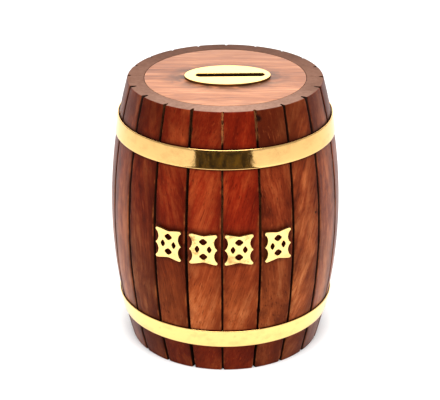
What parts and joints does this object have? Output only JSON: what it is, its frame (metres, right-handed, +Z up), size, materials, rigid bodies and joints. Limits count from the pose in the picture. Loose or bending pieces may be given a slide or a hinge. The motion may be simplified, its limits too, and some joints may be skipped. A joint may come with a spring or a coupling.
{
  "type": "barrel money box",
  "caption": "Wooden barrel money box with brass hoops, a brass-framed coin slot in the top head and a swinging brass coin door underneath.",
  "frame": {"origin": "middle of the base, on the surface the box stands on", "axes": "+Z up along the barrel's axis; the front, with the four ornaments, faces -Y; +X to the viewer's right"},
  "size_m": [0.106, 0.1078, 0.1282],
  "materials": {
    "stave_wood": "oiled, satin, red-brown, figured",
    "head_wood": "satin, light, fine straight grain",
    "bottom_wood": "plain sanded",
    "brass": "polished, lightly worn",
    "screw_brass": "plain turned"
  },
  "bodies": {
    "barrel": {"stave_01": "stave_wood", "stave_02": "stave_wood", "stave_03": "stave_wood", "stave_04": "stave_wood", "stave_05": "stave_wood", "stave_06": "stave_wood", "stave_07": "stave_wood", "stave_08": "stave_wood", "stave_09": "stave_wood", "stave_10": "stave_wood", "stave_11": "stave_wood", "stave_12": "stave_wood", "stave_13": "stave_wood", "stave_14": "stave_wood", "stave_15": "stave_wood", "stave_16": "stave_wood", "stave_17": "stave_wood", "stave_18": "stave_wood", "stave_19": "stave_wood", "stave_20": "stave_wood", "top_head": "head_wood", "bottom_head": "bottom_wood", "upper_hoop": "brass", "lower_hoop": "brass", "upper_hoop_nail_1": "brass", "upper_hoop_nail_2": "brass", "lower_hoop_nail_1": "brass", "lower_hoop_nail_2": "brass", "slot_plate": "brass", "ornament_1": "brass", "ornament_2": "brass", "ornament_3": "brass", "ornament_4": "brass", "pivot_screw": "screw_brass", "pivot_washer": "screw_brass"},
    "coin_door": {"coin_door": "brass"},
    "lock_washer": {"lock_washer": "screw_brass"},
    "lock_screw": {"lock_screw": "screw_brass"}
  },
  "joints": [
    {"name": "coin_door_swing", "type": "hinge", "parent": "barrel", "child": "coin_door", "pos_m": [0, 0, 0.0061], "axis": [0, 0, 1], "range_deg": [0, 180]},
    {"name": "lock_screw_lift", "type": "slide", "parent": "barrel", "child": "lock_washer", "axis": [0, 0, -1], "range_m": [0, 0.0009]},
    {"name": "lock_screw_turn", "type": "hinge", "parent": "lock_washer", "child": "lock_screw", "pos_m": [0.0189, 0.018, 0.004], "axis": [0, 0, -1], "range_deg": [0, 271]}
  ],
  "couplings": [
    {"joint": "lock_screw_turn", "follows": "lock_screw_lift", "rad_per_m": 5236}
  ]
}
